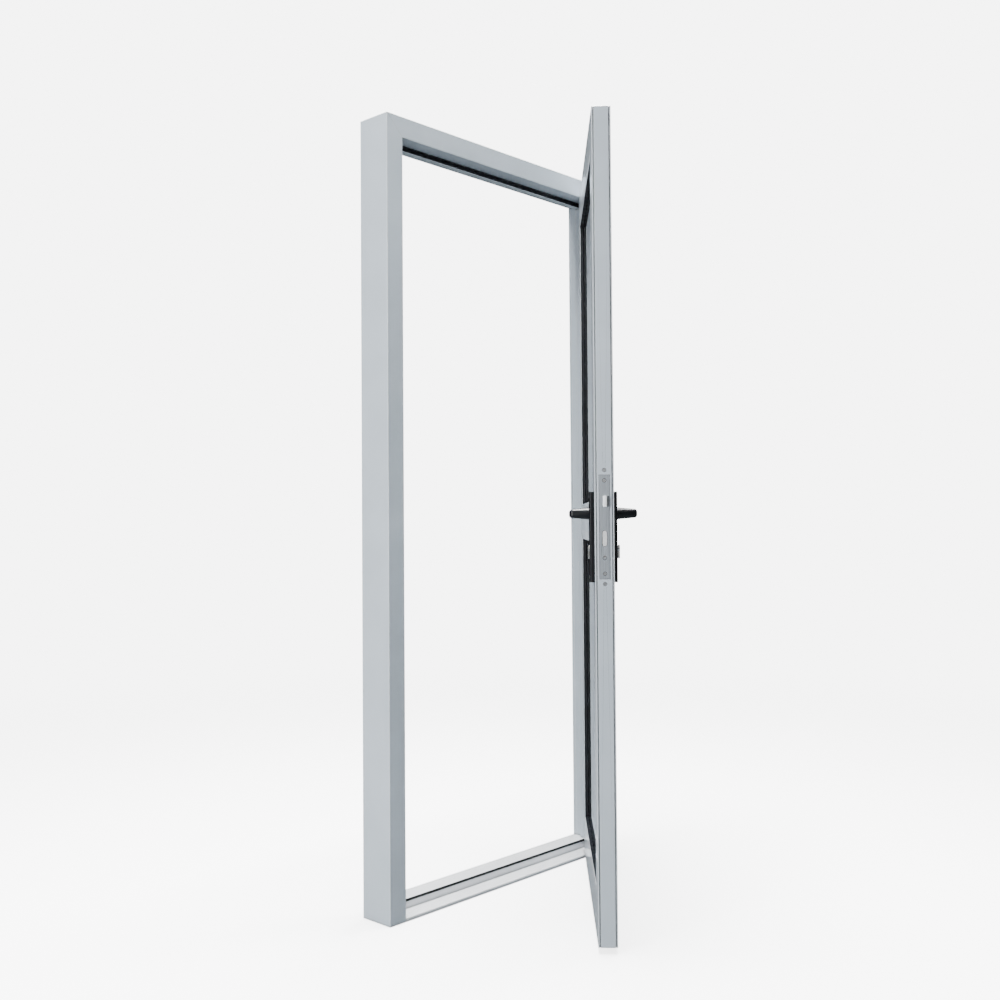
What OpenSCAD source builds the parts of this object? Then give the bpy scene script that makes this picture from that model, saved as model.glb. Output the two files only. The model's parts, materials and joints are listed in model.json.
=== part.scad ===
// Single-leaf glazed aluminium door in its frame, opening outward.
// Origin: centre of the sill's underside. +Z up, +X toward the hinge jamb, -Y toward the outside.
// The leaf stands partly open, as it is stored.

/* [Frame] */
// Overall width of the frame
frame_w = 930; // [820:1:1200]
// Overall height of the frame
frame_h = 2100; // [1900:1:2400]
// Depth of the frame profiles, front to back
frame_d = 106; // [96:1:130]
// Face width of the jambs and head
face_w = 55; // [45:1:75]
// Wall thickness of the aluminium profiles
wall = 2.2; // [1.8:0.1:3]
// How far the stop stands out into the opening
stop_h = 14; // [11:0.5:20]
// Depth of the stop, front to back
stop_d = 17; // [14:0.5:22]
// Height of the sill's front tread
tread_h = 11; // [9:0.5:16]
// Height of the sill's rear upstand
sill_h = 38; // [34:0.5:46]

/* [Leaf] */
// Thickness of the leaf
leaf_t = 47; // [44:0.5:56]
// Running gap between leaf and frame
leaf_gap = 3; // [2.5:0.5:5]
// Width of the stiles
stile_w = 85; // [80:1:110]
// Height of the top rail
top_rail = 100; // [85:1:140]
// Height of the middle rail
mid_rail = 104; // [90:1:140]
// Height of the bottom rail
bottom_rail = 120; // [90:1:240]
// Height of the middle rail's centre above the sill's underside
mid_z = 1033; // [900:1:1200]
// Angle that the leaf is stored at
open_deg = 40.7; // [0:0.1:90]

/* [Glazing] */
// Thickness of one glass pane
pane_t = 4; // [4:0.5:6]
// Gap between the two panes of a sealed unit
cavity_t = 16; // [12:1:16]
// Thickness of the glazing gaskets
gasket_t = 4; // [3:0.5:5]
// Width of the glazing lip and bead
lip_w = 23; // [20:0.5:26]

/* [Handle and lock] */
// Height of the lever's axis
lever_z = 1051.5; // [950:0.5:1100]
// Distance from lever axis down to key cylinder axis
key_drop = 85; // [72:1:92]
// Distance from the leaf's edge to the lever and cylinder axes
backset = 34; // [28:1:40]
// Length of the lock's faceplate
faceplate_l = 250; // [230:1:270]
// Width of the lock's faceplate
faceplate_w = 25; // [20:1:28]
// Length of the handle plates
plate_l = 220; // [190:1:260]
// Width of the handle plates
plate_w = 32; // [28:1:36]
// Thickness of the outside handle plate
plate_out_t = 9; // [7:0.5:12]
// Thickness of the inside handle plate
plate_in_t = 12; // [8:0.5:14]
// Reach of the levers from the leaf's face
lever_reach = 58; // [48:1:70]
// Length of the lever arms from their axis
lever_l = 122; // [100:1:140]
// How far the latch bolt stands out
latch_out = 10; // [8:0.5:11]
// Throw of the dead bolt
bolt_throw = 20; // [14:1:22]

/* [Hinges] */
// Radius of the hinge barrels
barrel_r = 8; // [7:0.5:10]
// Length of one half of a hinge barrel
barrel_l = 50; // [40:1:70]
// Width of the hinge flaps
flap_w = 30; // [26:1:36]
// Height of the lowest hinge's centre above the sill's underside
hinge_low = 240; // [160:5:400]
// Height of the middle hinge's centre
hinge_mid = 1150; // [900:5:1300]
// Height of the highest hinge's centre
hinge_high = 1860; // [1700:5:1920]

/* [Hidden] */
$fn = 48;
eps = 1;
y0 = -frame_d/2;
hinge_z = [hinge_low, hinge_mid, hinge_high];
chamfer = 0.8;
seal_clear = 0.3;
seal_head = 2.7;
rebate_d = leaf_t + seal_head + seal_clear;
reveal = frame_w/2 - face_w;
leaf_w = 2*(reveal - leaf_gap);
leaf_z0 = tread_h + leaf_gap;
leaf_z1 = frame_h - face_w - leaf_gap;
xl = -leaf_w/2;
xr = leaf_w/2;
face_y = y0;
back_y = y0 + leaf_t;

// web between the front and rear chambers of the frame profile
web_at = rebate_d - 9;
web_t = 2;

// door seals
seal_slot_w = 3.2;
seal_slot_d = 4;
seal_stem_w = 3;
seal_stem_d = 3.6;
seal_head_w = 11;

// glazing: distances through the leaf from its outside face
body_w = stile_w - lip_w;
outer_gasket_t = leaf_t - 10.5 - 2*pane_t - cavity_t - gasket_t;
pane_out_t0 = outer_gasket_t + gasket_t;
cavity_t0 = pane_out_t0 + pane_t;
pane_in_t0 = cavity_t0 + cavity_t;
inner_gasket_t = pane_in_t0 + pane_t;
bead_t0 = inner_gasket_t + gasket_t;
glass_inset = 6;
ring_w = 7;
ring_edge = 0.6;
spacer_w = 11;

// glazed openings between the rail lips, and the pockets behind them
open_x = leaf_w/2 - stile_w;
low_z0 = leaf_z0 + bottom_rail;
low_z1 = mid_z - mid_rail/2;
up_z0 = mid_z + mid_rail/2;
up_z1 = leaf_z1 - top_rail;

// hinge axis
axis_x = reveal - leaf_gap/2;
axis_y = y0 - barrel_r - 0.6;
pin_r = 4;
pin_fit = 0.05;
washer_t = 1.5;
flap_t = 3;
flap_h = 2*barrel_l + washer_t;
knuckle_gap = 0.15;

// lock
lock_x = xl + backset;
key_z = lever_z - key_drop;
mid_t = leaf_t/2;
lock_y = y0 + mid_t;
plate_z = lever_z - 57;
face_z = plate_z + 24.5;
face_z0 = face_z - faceplate_l/2;
face_z1 = face_z + faceplate_l/2;
faceplate_t = 3;
case_t = 16;
case_d = 48;
case_z0 = key_z - 40;
case_z1 = lever_z + 50;
case_wall = 1.6;
latch_y = lock_y - 1.2;
latch_w = 10;
latch_window = 5.3;
latch_h = 26;
latch_z = lever_z + 29;
slide_fit = 0.2;
bolt_w = 11;
bolt_h = 38;
bolt_z = key_z + 24.5;
bolt_rest = 0.6;
spindle_s = 8;
hub_r = 10;
key_r = 8.5;
plug_r = 6.5;
key_end_out = 15;
key_end_in = 15.5;
cam_w = 9;
cam_r = 14;
screw_r = 2;
strike_l = 200;
strike_box_d = 25;
strike_z = face_z;

edge_screw_z = [face_z1 - 13, face_z0 + 12];
stile_screw_z = [face_z1 + 12, face_z0 - 12.5];
plate_screw_z = [plate_z + plate_l/2 - 12, plate_z - plate_l/2 + 12];

silver = [0.76, 0.78, 0.80];
rubber = [0.06, 0.06, 0.07];
steel = [0.70, 0.71, 0.72];
black = [0.09, 0.10, 0.11];

// ---------- helpers ----------

// turns a piece of the closed leaf to the stored angle
module posed() {
    translate([axis_x, axis_y, 0])
        rotate([0, 0, open_deg])
            translate([-axis_x, -axis_y, 0])
                children();
}

module span(x0, x1, ya, yb, z0, z1) {
    translate([x0, ya, z0])
        cube([x1 - x0, yb - ya, z1 - z0]);
}

// box in the closed leaf, with t measured from the outside face
module slab(x0, x1, t0, t1, z0, z1) {
    span(x0, x1, y0 + t0, y0 + t1, z0, z1);
}

// extrudes an outline given in y and z along x
module along_x(x0, x1) {
    translate([x0, 0, 0])
        rotate([90, 0, 90])
            linear_extrude(x1 - x0)
                children();
}

// extrudes an outline given in x and z along y
module along_y(ya, yb) {
    translate([0, yb, 0])
        rotate([90, 0, 0])
            linear_extrude(yb - ya)
                children();
}

module rod_y(x, z, r, ya, yb) {
    translate([x, ya, z])
        rotate([-90, 0, 0])
            cylinder(r = r, h = yb - ya);
}

module rod_x(y, z, r, xa, xb) {
    translate([xa, y, z])
        rotate([0, 90, 0])
            cylinder(r = r, h = xb - xa);
}

// countersunk screw along +y from its head's face
module screw_y(x, z, ya, l, r) {
    translate([x, ya, z])
        rotate([-90, 0, 0])
            difference() {
                union() {
                    cylinder(r1 = 2*r, r2 = r, h = r);
                    cylinder(r = r, h = l);
                }
                translate([0, 0, -0.1])
                    cylinder(r = 0.8*r, h = 0.7*r, $fn = 6);
            }
}

// countersunk screw along +x from its head's face
module screw_x(y, z, xa, l, r) {
    translate([xa, y, z])
        rotate([0, 90, 0])
            difference() {
                union() {
                    cylinder(r1 = 2*r, r2 = r, h = r);
                    cylinder(r = r, h = l);
                }
                translate([0, 0, -0.1])
                    cylinder(r = 0.8*r, h = 0.7*r, $fn = 6);
            }
}

// countersunk hole that a screw of the same r sits in
module sink_x(y, z, xa, l, r) {
    translate([xa, y, z])
        rotate([0, 90, 0])
            union() {
                cylinder(r1 = 2*r, r2 = r, h = r);
                translate([0, 0, -eps])
                    cylinder(r = 2*r, h = eps);
                cylinder(r = r, h = l);
            }
}

module sink_y(x, z, ya, l, r) {
    translate([x, ya, z])
        rotate([-90, 0, 0])
            union() {
                cylinder(r1 = 2*r, r2 = r, h = r);
                translate([0, 0, -eps])
                    cylinder(r = 2*r, h = eps);
                cylinder(r = r, h = l);
            }
}

// ---------- frame profile, u inward from the outer face, v back from the front ----------

function flip(pts) = [for (p = pts) [p[1], p[0]]];

function frame_outline() = [
    [chamfer, 0], [face_w - chamfer, 0], [face_w, chamfer],
    [face_w, rebate_d],
    [face_w + stop_h - chamfer, rebate_d], [face_w + stop_h, rebate_d + chamfer],
    [face_w + stop_h, rebate_d + stop_d - chamfer], [face_w + stop_h - chamfer, rebate_d + stop_d],
    [face_w, rebate_d + stop_d],
    [face_w, frame_d - chamfer], [face_w - chamfer, frame_d],
    [chamfer, frame_d], [0, frame_d - chamfer], [0, chamfer]];

seal_u = face_w + 1.2;
slot_u = seal_u + (seal_head_w - seal_slot_w)/2;

function box_pts(a0, a1, b0, b1) = [[a0, b0], [a1, b0], [a1, b1], [a0, b1]];

module frame_section() {
    difference() {
        polygon(frame_outline());
        polygon(box_pts(wall, face_w - wall, wall, web_at));
        polygon(box_pts(wall, face_w - wall, web_at + web_t, frame_d - wall));
        polygon(box_pts(face_w + 2, face_w + stop_h - 2, rebate_d + seal_slot_d + 2,
            rebate_d + stop_d - 2));
        polygon(box_pts(slot_u, slot_u + seal_slot_w, rebate_d - eps, rebate_d + seal_slot_d));
    }
}

// seal section in the same u and v
module seal_section() {
    stem_u = slot_u + (seal_slot_w - seal_stem_w)/2;
    polygon([
        [seal_u, rebate_d], [seal_u + 0.6, rebate_d - seal_head], [seal_u + seal_head_w - 0.6,
            rebate_d - seal_head],
        [seal_u + seal_head_w, rebate_d], [stem_u + seal_stem_w, rebate_d],
        [stem_u + seal_stem_w, rebate_d + seal_stem_d], [stem_u, rebate_d + seal_stem_d], [stem_u,
        rebate_d]]);
}

// keeps what lies on the jamb's side of the mitre
module jamb_mask() {
    reach = face_w + stop_h + 5;
    along_y(y0 - 5, -y0 + 5)
        polygon([
            [-frame_w/2 - 5, -1], [-frame_w/2 + reach, -1],
            [-frame_w/2 + reach, frame_h - reach], [-frame_w/2 - 5, frame_h + 5]]);
}

// keeps what lies on the head's side of both mitres
module head_mask() {
    reach = face_w + stop_h + 5;
    along_y(y0 - 5, -y0 + 5)
        polygon([
            [-frame_w/2 - 5, frame_h + 5], [-frame_w/2 + reach, frame_h - reach],
            [frame_w/2 - reach, frame_h - reach], [frame_w/2 + 5, frame_h + 5]]);
}

// one jamb on the lock side
module jamb() {
    difference() {
        intersection() {
            translate([-frame_w/2, y0, 0])
                linear_extrude(frame_h)
                    frame_section();
            jamb_mask();
        }
        // stop is cut back over the sill
        translate([-reveal, y0 + rebate_d - eps, -eps])
            cube([stop_h + eps, stop_d + 2*eps, sill_h + eps]);
        // screw holes for the sill
        for (v = sill_screw_v)
            rod_x(y0 + v, sill_screw_z, sill_screw_r, -reveal - wall - eps, -reveal + eps);
    }
}

module jamb_seal() {
    intersection() {
        translate([-frame_w/2, y0, sill_h])
            linear_extrude(frame_h)
                seal_section();
        jamb_mask();
    }
}

strike_w = 24;
strike_seat = 5;
strike_flange = 2.5;
strike_screw_z = [strike_z + strike_l/2 - 10, strike_z - strike_l/2 + 10];
hole_margin = 1.5;

module frame_jamb_lock() {
    color(silver)
        difference() {
            jamb();
            span(-reveal - wall - eps, -reveal + eps, lock_y - strike_w/2, lock_y + strike_w/2,
                strike_z - strike_l/2, strike_z + strike_l/2);
        }
}

module frame_jamb_hinge() {
    color(silver)
        difference() {
            mirror([1, 0, 0])
                jamb();
            for (h = hinge_z)
                for (dz = flap_screw_dz)
                    rod_y(axis_x + flap_screw_x, h + dz, hinge_screw_r, y0 - eps, y0 + wall + eps);
        }
}

module frame_head() {
    color(silver)
        intersection() {
            along_x(-frame_w/2, frame_w/2)
                translate([y0, frame_h])
                    mirror([0, 1])
                        polygon_swap();
            head_mask();
        }
}

// frame section with u and v exchanged
module polygon_swap() {
    difference() {
        polygon(flip(frame_outline()));
        polygon(box_pts(wall, web_at, wall, face_w - wall));
        polygon(box_pts(web_at + web_t, frame_d - wall, wall, face_w - wall));
        polygon(box_pts(rebate_d + seal_slot_d + 2, rebate_d + stop_d - 2, face_w + 2,
            face_w + stop_h - 2));
        polygon(box_pts(rebate_d - eps, rebate_d + seal_slot_d, slot_u, slot_u + seal_slot_w));
    }
}

module seal_swap() {
    stem_u = slot_u + (seal_slot_w - seal_stem_w)/2;
    polygon(flip([
        [seal_u, rebate_d], [seal_u + 0.6, rebate_d - seal_head], [seal_u + seal_head_w - 0.6,
            rebate_d - seal_head],
        [seal_u + seal_head_w, rebate_d], [stem_u + seal_stem_w, rebate_d],
        [stem_u + seal_stem_w, rebate_d + seal_stem_d], [stem_u, rebate_d + seal_stem_d], [stem_u,
        rebate_d]]));
}

// cast angle inside the front chamber of each mitred corner
cleat_leg = 75;
cleat_t = 12;
cleat_fit = 0.15;

module corner_cleat() {
    x0 = -frame_w/2 + wall + cleat_fit;
    z1 = frame_h - wall - cleat_fit;
    along_y(y0 + wall + cleat_fit, y0 + web_at - cleat_fit)
        polygon([
            [x0, z1], [x0 + cleat_leg, z1], [x0 + cleat_leg, z1 - cleat_t],
            [x0 + cleat_t, z1 - cleat_t], [x0 + cleat_t, z1 - cleat_leg], [x0, z1 - cleat_leg]]);
}

module frame_corner_cleats() {
    color(steel) {
        corner_cleat();
        mirror([1, 0, 0])
            corner_cleat();
    }
}

// ---------- sill ----------

groove_w = 1.2;
groove_d = 0.6;
tread_grooves = [10, 17, 24, 31, 38];
top_grooves = [rebate_d + 14, rebate_d + 24, rebate_d + 34, rebate_d + 44];
sill_slot_z = sill_h - 6.5;
sill_wall = 2;
nose = 2.5;
sill_screw_v = [rebate_d + 14, frame_d - 16];
sill_screw_z = 19;
sill_screw_r = 2.4;
block_l = 30;

module sill() {
    color(silver)
        difference() {
            along_x(-reveal, reveal)
                translate([y0, 0])
                    difference() {
                        polygon([
                            [0, 0], [frame_d, 0], [frame_d, sill_h - chamfer], [frame_d - chamfer, sill_h],
                            [rebate_d + chamfer, sill_h], [rebate_d, sill_h - chamfer],
                            [rebate_d, tread_h], [nose, tread_h], [0, tread_h - nose]]);
                        polygon(box_pts(sill_wall + 2, rebate_d - sill_wall, sill_wall, tread_h - 2.6));
                        polygon(box_pts(rebate_d + sill_slot_d + 2, frame_d - sill_wall, sill_wall,
                            sill_h - 2.6));
                        polygon(box_pts(rebate_d - eps, rebate_d + sill_slot_d, sill_slot_z,
                            sill_slot_z + seal_slot_w));
                        for (v = tread_grooves)
                            polygon(box_pts(v, v + groove_w, tread_h - groove_d, tread_h + eps));
                        for (v = top_grooves)
                            polygon(box_pts(v, v + groove_w, sill_h - groove_d, sill_h + eps));
                    }
        }
}

sill_slot_d = 4;

// moulded block that plugs each end of the sill's rear chamber
module sill_block() {
    difference() {
        span(-reveal, -reveal + block_l, y0 + rebate_d + sill_slot_d + 2 + cleat_fit,
            y0 + frame_d - sill_wall - cleat_fit,
            sill_wall + cleat_fit, sill_h - 2.6 - cleat_fit);
        for (v = sill_screw_v)
            rod_x(y0 + v, sill_screw_z, sill_screw_r, -reveal - eps, -reveal + block_l - 6);
    }
}

module sill_end_blocks() {
    color(black) {
        sill_block();
        mirror([1, 0, 0])
            sill_block();
    }
}

// pan-head screws from inside the jamb into the sill blocks
module sill_screw_pair() {
    for (v = sill_screw_v) {
        rod_x(y0 + v, sill_screw_z, sill_screw_r, -reveal - wall, -reveal + block_l - 8);
        difference() {
            rod_x(y0 + v, sill_screw_z, 2*sill_screw_r, -reveal - wall - 3, -reveal - wall);
            translate([-reveal - wall - 3.1, y0 + v, sill_screw_z])
                rotate([0, 90, 0])
                    cylinder(r = 1.8, h = 1.8, $fn = 6);
        }
    }
}

module sill_screws() {
    color(steel) {
        sill_screw_pair();
        mirror([1, 0, 0])
            sill_screw_pair();
    }
}

module seal_jamb_lock() {
    color(rubber)
        jamb_seal();
}

module seal_jamb_hinge() {
    color(rubber)
        mirror([1, 0, 0])
            jamb_seal();
}

module seal_head() {
    color(rubber)
        intersection() {
            along_x(-frame_w/2, frame_w/2)
                translate([y0, frame_h])
                    mirror([0, 1])
                        seal_swap();
            head_mask();
        }
}

// seal along the sill's upstand, between the jambs' reveals
module seal_sill() {
    stem_z = sill_slot_z + (seal_slot_w - seal_stem_w)/2;
    seal_z0 = sill_slot_z - 1.2;
    seal_z1 = sill_h - chamfer;
    color(rubber)
        along_x(-reveal, reveal)
            translate([y0, 0])
                polygon([
                    [rebate_d, seal_z0], [rebate_d, stem_z], [rebate_d + seal_stem_d, stem_z],
                    [rebate_d + seal_stem_d, stem_z + seal_stem_w], [rebate_d, stem_z + seal_stem_w],
                    [rebate_d, seal_z1], [rebate_d - seal_head, seal_z1 - 0.6],
                    [rebate_d - seal_head, seal_z0 + 0.6]]);
}

// ---------- strike ----------

module strike_holes(xa, xb, m) {
    span(xa, xb, latch_y - latch_w/2 - m, latch_y + latch_w/2 + m, latch_z - latch_h/2 - m,
        latch_z + latch_h/2 + m);
    span(xa, xb, lock_y - bolt_w/2 - m, lock_y + bolt_w/2 + m, bolt_z - bolt_h/2 - m,
        bolt_z + bolt_h/2 + m);
}

module strike_plate() {
    color(steel)
        difference() {
            span(-reveal - wall, -reveal, lock_y - strike_w/2, lock_y + strike_w/2,
                strike_z - strike_l/2, strike_z + strike_l/2);
            strike_holes(-reveal - wall - eps, -reveal + eps, hole_margin - 0.5);
            for (z = strike_screw_z)
                mirror([1, 0, 0])
                    sink_x(lock_y, z, reveal, wall + eps, screw_r);
        }
}

// moulded dust box behind the strike plate, with a flange behind the jamb's wall
module strike_box() {
    xf = -reveal - wall;
    color(black)
        difference() {
            union() {
                span(xf - strike_flange, xf, lock_y - strike_w/2 - strike_seat, lock_y + strike_w/2,
                    strike_z - strike_l/2 - strike_seat, strike_z + strike_l/2 + strike_seat);
                span(xf - strike_box_d, xf - strike_flange, lock_y - strike_w/2 - 1,
                    lock_y + strike_w/2 - 1,
                    bolt_z - bolt_h/2 - 6, latch_z + latch_h/2 + 6);
            }
            strike_holes(xf - strike_box_d + 2, xf + eps, hole_margin);
            for (z = strike_screw_z)
                rod_x(lock_y, z, screw_r, xf - strike_flange - eps, xf + eps);
        }
}

module strike_screws() {
    color(steel)
        for (z = strike_screw_z)
            mirror([1, 0, 0])
                screw_x(lock_y, z, reveal, 12, screw_r);
}

// ---------- leaf profiles ----------

edge_groove_w = 3;
edge_groove_d = 3;
edge_groove_t = [2.6, leaf_t - 5.8];

// section across a stile, a from the leaf's edge inward and b through the leaf
module stile_section() {
    difference() {
        polygon([
            [0, chamfer], [chamfer, 0], [stile_w - chamfer, 0], [stile_w, chamfer], [stile_w,
                outer_gasket_t],
            [body_w, outer_gasket_t], [body_w, leaf_t - chamfer], [body_w - chamfer, leaf_t],
            [chamfer, leaf_t], [0, leaf_t - chamfer]]);
        polygon(box_pts(edge_groove_d + wall, body_w - wall, wall + 0.6, leaf_t - wall - 0.6));
        polygon(box_pts(body_w + 1, stile_w - wall, wall, outer_gasket_t - wall));
        for (b = edge_groove_t)
            polygon(box_pts(-eps, edge_groove_d, b, b + edge_groove_w));
    }
}

module stile_blank() {
    translate([xl, y0, leaf_z0])
        linear_extrude(leaf_z1 - leaf_z0)
            stile_section();
}

module leaf_stile_lock() {
    color(silver)
        posed()
            difference() {
                stile_blank();
                // faceplate recess and the slot that the lock case goes in through
                span(xl - eps, xl + faceplate_t, lock_y - faceplate_w/2, lock_y + faceplate_w/2,
                    face_z0, face_z1);
                span(xl, xl + 8, lock_y - case_t/2 - 0.5, lock_y + case_t/2 + 0.5, case_z0 - 1,
                    case_z1 + 1);
                // handle and cylinder openings through both faces
                rod_y(lock_x, lever_z, hub_r, y0 - eps, back_y + eps);
                key_outline(0.5, y0 - eps, back_y + eps);
                for (z = plate_screw_z)
                    rod_y(lock_x, z, screw_r + 0.4, y0 - eps, back_y + eps);
                for (z = concat(edge_screw_z, stile_screw_z))
                    rod_x(lock_y, z, screw_r, xl - eps, xl + edge_groove_d + wall + eps);
                for (z = stile_screw_z)
                    sink_x(lock_y, z, xl, 3, screw_r);
                // bolt and latch openings at the faceplate's back
                span(xl, xl + 8, latch_y - latch_w/2 - 0.6, latch_y + latch_w/2 + 0.6,
                    latch_z - latch_h/2 - 0.6, latch_z + latch_h/2 + 0.6);
            }
}

module leaf_stile_hinge() {
    color(silver)
        posed()
            difference() {
                mirror([1, 0, 0])
                    stile_blank();
                for (h = hinge_z)
                    for (dz = flap_screw_dz)
                        rod_y(axis_x - flap_screw_x, h + dz, hinge_screw_r, y0 - eps,
                            y0 + wall + 0.6 + eps);
            }
}

// cuts the rail's end over the stile's lip
module lip_notches(z0, z1) {
    for (s = [-1, 1])
        translate([s < 0 ? -open_x - lip_w - eps : open_x, y0 - eps, z0 - eps])
            cube([lip_w + eps, outer_gasket_t + eps, z1 - z0 + 2*eps]);
}

// rail with an outside lip below (lo = 1), above (hi = 1) or both
module rail(z0, z1, lo, hi) {
    b0 = z0 + lo*lip_w;
    b1 = z1 - hi*lip_w;
    difference() {
        along_x(-open_x - lip_w, open_x + lip_w)
            difference() {
                polygon([
                    [y0, z0], [y0 + outer_gasket_t, z0], [y0 + outer_gasket_t, b0], [y0 + leaf_t, b0],
                    [y0 + leaf_t, b1], [y0 + outer_gasket_t, b1], [y0 + outer_gasket_t, z1], [y0, z1]]);
                polygon(box_pts(y0 + wall + 0.6, y0 + leaf_t - wall - 0.6, b0 + wall, b1 - wall));
            }
        lip_notches(z0, z1);
    }
}

module leaf_rail_top() {
    color(silver)
        posed()
            rail(up_z1, leaf_z1, 1, 0);
}

module leaf_rail_mid() {
    color(silver)
        posed()
            rail(low_z1, up_z0, 1, 1);
}

module leaf_rail_bottom() {
    color(silver)
        posed()
            rail(leaf_z0, low_z0, 0, 1);
}

// cast connectors inside the rail ends, bolted to the stiles
conn_l = 60;
conn_fit = 0.15;
conn_bolt_r = 3;

function rail_bands() = [
    [leaf_z0, low_z0 - lip_w],
    [low_z1 + lip_w, up_z0 - lip_w],
    [up_z1 + lip_w, leaf_z1]];

module connector(b0, b1) {
    zc = (b0 + b1)/2;
    difference() {
        slab(-open_x - lip_w, -open_x - lip_w + conn_l, outer_gasket_t + conn_fit,
            leaf_t - wall - 0.6 - conn_fit,
            b0 + wall + conn_fit, b1 - wall - conn_fit);
        slab(-open_x - lip_w + 8, -open_x - lip_w + conn_l + eps, outer_gasket_t + 5, leaf_t - wall - 5.6,
            b0 + wall + 5, b1 - wall - 5);
    }
}

module rail_connectors() {
    color(steel)
        posed()
            for (m = [0, 1])
                mirror([m, 0, 0])
                    for (b = rail_bands())
                        connector(b[0], b[1]);
}

cap_t = 3;

module stile_cap(z) {
    slab(xl + edge_groove_d + wall + conn_fit, xl + body_w - wall - conn_fit,
        wall + 0.6 + conn_fit, leaf_t - wall - 0.6 - conn_fit, z, z + cap_t);
}

module stile_end_caps() {
    color(black)
        posed()
            for (m = [0, 1])
                mirror([m, 0, 0]) {
                    stile_cap(leaf_z0);
                    stile_cap(leaf_z1 - cap_t);
                }
}

// ---------- glazing ----------

glass_x = open_x + lip_w - glass_inset;
glass_dz = lip_w - glass_inset;

module pane(z0, z1, t0) {
    slab(-glass_x, glass_x, t0, t0 + pane_t, z0 - glass_dz, z1 + glass_dz);
}

// rectangular ring round a glazed opening, from inset a to inset b of the lip
module ring(z0, z1, a, b, t0, t1) {
    difference() {
        slab(-open_x - b, open_x + b, t0, t1, z0 - b, z1 + b);
        slab(-open_x - a, open_x + a, t0 - eps, t1 + eps, z0 - a, z1 + a);
    }
}

glass_tint = [0.80, 0.86, 0.88, 0.35];

module upper_pane_outer() {
    color(glass_tint)
        posed()
            pane(up_z0, up_z1, pane_out_t0);
}

module upper_pane_inner() {
    color(glass_tint)
        posed()
            pane(up_z0, up_z1, pane_in_t0);
}

module lower_pane_outer() {
    color(glass_tint)
        posed()
            pane(low_z0, low_z1, pane_out_t0);
}

module lower_pane_inner() {
    color(glass_tint)
        posed()
            pane(low_z0, low_z1, pane_in_t0);
}

module spacer(z0, z1) {
    ring(z0, z1, lip_w - glass_inset - spacer_w, lip_w - glass_inset, cavity_t0, pane_in_t0);
}

module upper_spacer() {
    color(black)
        posed()
            spacer(up_z0, up_z1);
}

module lower_spacer() {
    color(black)
        posed()
            spacer(low_z0, low_z1);
}

module gasket_ring(z0, z1, t0) {
    ring(z0, z1, ring_edge, ring_edge + ring_w, t0, t0 + gasket_t);
}

module upper_gasket_outer() {
    color(rubber)
        posed()
            gasket_ring(up_z0, up_z1, outer_gasket_t);
}

module upper_gasket_inner() {
    color(rubber)
        posed()
            gasket_ring(up_z0, up_z1, inner_gasket_t);
}

module lower_gasket_outer() {
    color(rubber)
        posed()
            gasket_ring(low_z0, low_z1, outer_gasket_t);
}

module lower_gasket_inner() {
    color(rubber)
        posed()
            gasket_ring(low_z0, low_z1, inner_gasket_t);
}

// bead section, a from the profile's body toward the glass and b through the leaf
function bead_pts() = [
    [0, bead_t0 - 2.5], [2, bead_t0 - 2.5], [2, leaf_t - 2], [lip_w - 2, leaf_t - 2], [lip_w - 2,
        bead_t0 + 2],
    [lip_w - 9, bead_t0 + 2], [lip_w - 9, bead_t0], [lip_w, bead_t0], [lip_w, leaf_t - 0.4],
    [lip_w - 0.4, leaf_t],
    [0, leaf_t]];

// butt clearance between upright and level beads
bead_fit = 0.1;

module bead_low(z) {
    along_x(-open_x - lip_w, open_x + lip_w)
        translate([y0, z - lip_w])
            polygon(flip(bead_pts()));
}

module bead_side(z0, z1) {
    translate([-open_x - lip_w, y0, z0])
        linear_extrude(z1 - z0)
            polygon(bead_pts());
}

module bead_set(z0, z1) {
    bead_low(z0);
    translate([0, 0, z0 + z1])
        mirror([0, 0, 1])
            bead_low(z0);
    bead_side(z0 + bead_fit, z1 - bead_fit);
    mirror([1, 0, 0])
        bead_side(z0 + bead_fit, z1 - bead_fit);
}

module upper_beads() {
    color(silver)
        posed()
            bead_set(up_z0, up_z1);
}

module lower_beads() {
    color(silver)
        posed()
            bead_set(low_z0, low_z1);
}

// packers between the glass edges and the profiles
block_w = 80;

module blocks(z0, z1) {
    for (s = [-1, 1])
        translate([s*(open_x - 60) - block_w/2, y0 + pane_out_t0, z0 - lip_w])
            cube([block_w, inner_gasket_t - pane_out_t0, glass_inset]);
    for (s = [-1, 1])
        translate([s < 0 ? -open_x - lip_w : open_x + lip_w - glass_inset, y0 + pane_out_t0,
            (z0 + z1)/2 - block_w/2])
            cube([glass_inset, inner_gasket_t - pane_out_t0, block_w]);
}

module setting_blocks() {
    color(black)
        posed() {
            blocks(low_z0, low_z1);
            blocks(up_z0, up_z1);
        }
}

// ---------- hinges ----------

flap_screw_dz = [-36, -12, 12, 36];
flap_screw_x = 20;
hinge_screw_r = 2.4;
hinge_screw_l = 14;

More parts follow.
